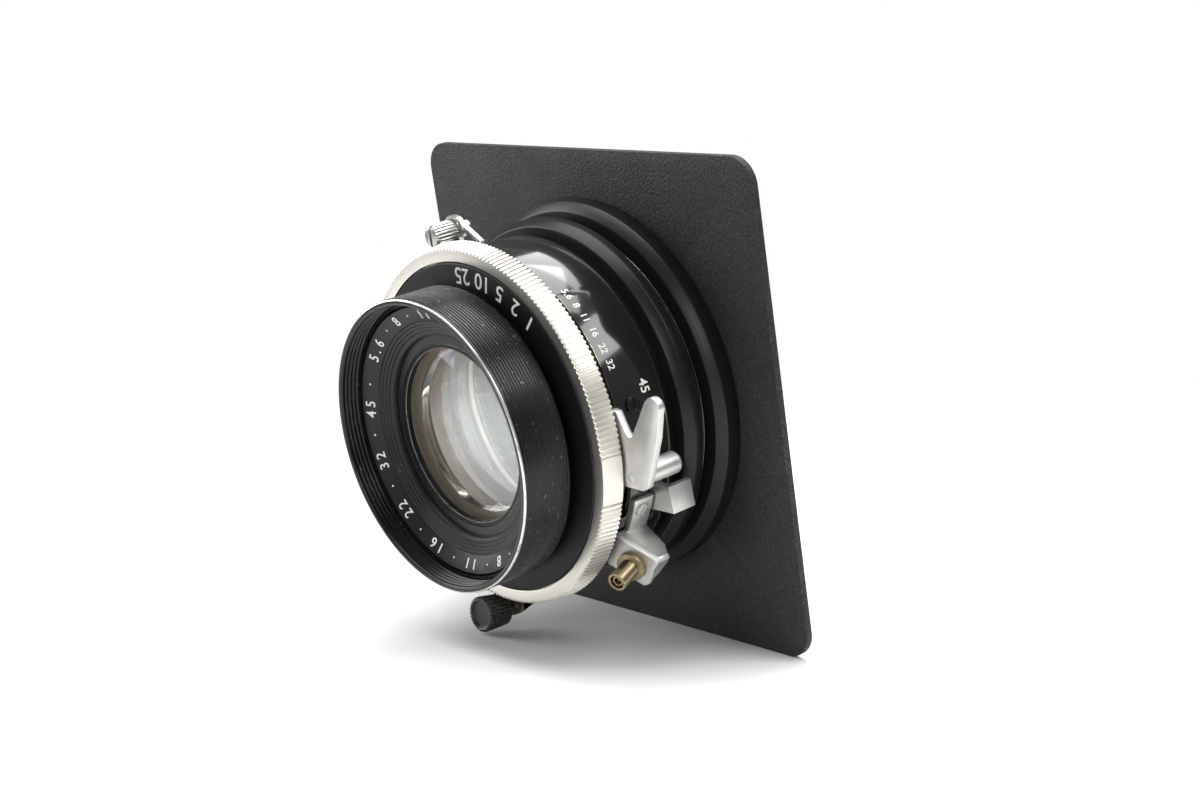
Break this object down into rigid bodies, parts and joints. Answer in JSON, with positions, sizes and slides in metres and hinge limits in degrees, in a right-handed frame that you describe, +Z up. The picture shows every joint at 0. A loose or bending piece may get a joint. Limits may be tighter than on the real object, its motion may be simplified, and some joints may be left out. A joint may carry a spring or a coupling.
{
  "type": "view camera lens in leaf shutter on lens board",
  "caption": "Large-format lens in a leaf shutter on a square lens board, with a knurled speed ring, cocking and release levers, an aperture knob and a flash socket.",
  "frame": {"origin": "on the lens axis, in the plane of the lens board's rear face", "axes": "+Y out of the board's rear face towards the film, so the lens faces -Y; +Z up, away from the aperture knob; +X towards the cocking lever"},
  "size_m": [0.08, 0.0463, 0.08],
  "materials": {
    "board_paint": "fine crinkle black paint",
    "satin_black": "satin black anodised",
    "gloss_black": "gloss black enamel",
    "satin_chrome": "satin chrome",
    "plated_steel": "matt plated steel",
    "black_steel": "black oxide",
    "leaf_steel": "dark blued steel",
    "mechanism_brass": "dull brass",
    "socket_bronze": "aged bronze plating",
    "insulator": "dark moulded insulator",
    "coated_glass": "polished, coated"
  },
  "bodies": {
    "housing": {"lens_board": "board_paint", "board_extension": "satin_black", "extension_screws": "black_steel", "retaining_ring": "satin_black", "shutter_case": "gloss_black", "shutter_base": "satin_black", "base_screws": "plated_steel", "front_plate": "satin_black", "blade_plate": "mechanism_brass", "release_pivot": "plated_steel", "release_spring": "plated_steel", "barrel_screw": "black_steel", "socket_bracket": "plated_steel", "bracket_screw": "plated_steel", "socket_shell": "socket_bronze", "socket_insulator": "insulator", "socket_pin": "socket_bronze", "lock_clip": "satin_chrome", "front_barrel": "satin_black", "name_ring": "satin_black", "front_retainer": "satin_black", "front_glass_1": "coated_glass", "front_glass_2": "coated_glass", "front_glass_3": "coated_glass", "rear_barrel": "satin_black", "rear_glass_1": "coated_glass", "rear_glass_2": "coated_glass", "rear_glass_3": "coated_glass", "rear_retainer": "satin_black"},
    "speed_ring": {"speed_ring": "satin_chrome"},
    "cocking": {"cocking_lever": "plated_steel", "cocking_stud": "plated_steel"},
    "aperture": {"aperture_ring": "mechanism_brass", "aperture_knob": "black_steel"},
    "blade_drive": {"blade_ring": "mechanism_brass"},
    "release": {"release_lever": "plated_steel"},
    "lock": {"lock_screw": "satin_chrome"},
    "iris_leaf_1": {"iris_leaf_1": "leaf_steel"},
    "iris_leaf_2": {"iris_leaf_2": "leaf_steel"},
    "iris_leaf_3": {"iris_leaf_3": "leaf_steel"},
    "iris_leaf_4": {"iris_leaf_4": "leaf_steel"},
    "iris_leaf_5": {"iris_leaf_5": "leaf_steel"},
    "iris_leaf_6": {"iris_leaf_6": "leaf_steel"},
    "iris_leaf_7": {"iris_leaf_7": "leaf_steel"},
    "shutter_blade_1": {"shutter_blade_1": "leaf_steel"},
    "shutter_blade_2": {"shutter_blade_2": "leaf_steel"},
    "shutter_blade_3": {"shutter_blade_3": "leaf_steel"},
    "shutter_blade_4": {"shutter_blade_4": "leaf_steel"},
    "shutter_blade_5": {"shutter_blade_5": "leaf_steel"}
  },
  "joints": [
    {"name": "speed_turn", "type": "hinge", "parent": "housing", "child": "speed_ring", "pos_m": [0, -0.0268, 0], "axis": [0, -1, 0], "range_deg": [-150, 30]},
    {"name": "cocking_swing", "type": "hinge", "parent": "housing", "child": "cocking", "pos_m": [0, -0.024, 0], "axis": [0, -1, 0], "range_deg": [0, 38], "stiffness_Nm_per_rad": 0.03, "springref_deg": -20.05},
    {"name": "aperture_turn", "type": "hinge", "parent": "housing", "child": "aperture", "pos_m": [0, -0.02235, 0], "axis": [0, -1, 0], "range_deg": [-36, 0]},
    {"name": "blade_ring_turn", "type": "hinge", "parent": "housing", "child": "blade_drive", "pos_m": [0, -0.0178, 0], "axis": [0, -1, 0], "range_deg": [-23.8, 0]},
    {"name": "release_press", "type": "hinge", "parent": "housing", "child": "release", "pos_m": [0.0196, -0.0167, -0.0079], "axis": [0, 1, 0], "range_deg": [0, 9], "stiffness_Nm_per_rad": 0.05, "springref_deg": -14.32},
    {"name": "lock_turn", "type": "hinge", "parent": "housing", "child": "lock", "pos_m": [-0.01098, -0.021, 0.02921], "axis": [0, -1, 0], "range_deg": [-90, 90]},
    {"name": "iris_leaf_1_swing", "type": "hinge", "parent": "housing", "child": "iris_leaf_1", "pos_m": [0.02211, -0.0202, 0.0047], "axis": [0, -1, 0], "range_deg": [0, 30]},
    {"name": "iris_leaf_2_swing", "type": "hinge", "parent": "housing", "child": "iris_leaf_2", "pos_m": [0.01011, -0.02044, 0.02021], "axis": [0, -1, 0], "range_deg": [0, 30]},
    {"name": "iris_leaf_3_swing", "type": "hinge", "parent": "housing", "child": "iris_leaf_3", "pos_m": [-0.0095, -0.02068, 0.02051], "axis": [0, -1, 0], "range_deg": [0, 30]},
    {"name": "iris_leaf_4_swing", "type": "hinge", "parent": "housing", "child": "iris_leaf_4", "pos_m": [-0.02196, -0.02092, 0.00536], "axis": [0, -1, 0], "range_deg": [0, 30]},
    {"name": "iris_leaf_5_swing", "type": "hinge", "parent": "housing", "child": "iris_leaf_5", "pos_m": [-0.01788, -0.02116, -0.01383], "axis": [0, -1, 0], "range_deg": [0, 30]},
    {"name": "iris_leaf_6_swing", "type": "hinge", "parent": "housing", "child": "iris_leaf_6", "pos_m": [-0.00034, -0.0214, -0.0226], "axis": [0, -1, 0], "range_deg": [0, 30]},
    {"name": "iris_leaf_7_swing", "type": "hinge", "parent": "housing", "child": "iris_leaf_7", "pos_m": [0.01746, -0.02164, -0.01435], "axis": [0, -1, 0], "range_deg": [0, 30]},
    {"name": "shutter_blade_1_swing", "type": "hinge", "parent": "housing", "child": "shutter_blade_1", "pos_m": [0.02023, -0.01928, 0.01215], "axis": [0, -1, 0], "range_deg": [0, 34]},
    {"name": "shutter_blade_2_swing", "type": "hinge", "parent": "housing", "child": "shutter_blade_2", "pos_m": [-0.00531, -0.01904, 0.023], "axis": [0, -1, 0], "range_deg": [0, 34]},
    {"name": "shutter_blade_3_swing", "type": "hinge", "parent": "housing", "child": "shutter_blade_3", "pos_m": [-0.02351, -0.0188, 0.00206], "axis": [0, -1, 0], "range_deg": [0, 34]},
    {"name": "shutter_blade_4_swing", "type": "hinge", "parent": "housing", "child": "shutter_blade_4", "pos_m": [-0.00922, -0.01856, -0.02172], "axis": [0, -1, 0], "range_deg": [0, 34]},
    {"name": "shutter_blade_5_swing", "type": "hinge", "parent": "housing", "child": "shutter_blade_5", "pos_m": [0.01781, -0.01832, -0.01548], "axis": [0, -1, 0], "range_deg": [0, 34]}
  ],
  "couplings": [
    {"joint": "iris_leaf_1_swing", "follows": "aperture_turn", "ratio": -0.83333},
    {"joint": "iris_leaf_2_swing", "follows": "aperture_turn", "ratio": -0.83333},
    {"joint": "iris_leaf_3_swing", "follows": "aperture_turn", "ratio": -0.83333},
    {"joint": "iris_leaf_4_swing", "follows": "aperture_turn", "ratio": -0.83333},
    {"joint": "iris_leaf_5_swing", "follows": "aperture_turn", "ratio": -0.83333},
    {"joint": "iris_leaf_6_swing", "follows": "aperture_turn", "ratio": -0.83333},
    {"joint": "iris_leaf_7_swing", "follows": "aperture_turn", "ratio": -0.83333},
    {"joint": "shutter_blade_1_swing", "follows": "blade_ring_turn", "ratio": -1.4286},
    {"joint": "shutter_blade_2_swing", "follows": "blade_ring_turn", "ratio": -1.4286},
    {"joint": "shutter_blade_3_swing", "follows": "blade_ring_turn", "ratio": -1.4286},
    {"joint": "shutter_blade_4_swing", "follows": "blade_ring_turn", "ratio": -1.4286},
    {"joint": "shutter_blade_5_swing", "follows": "blade_ring_turn", "ratio": -1.4286}
  ]
}
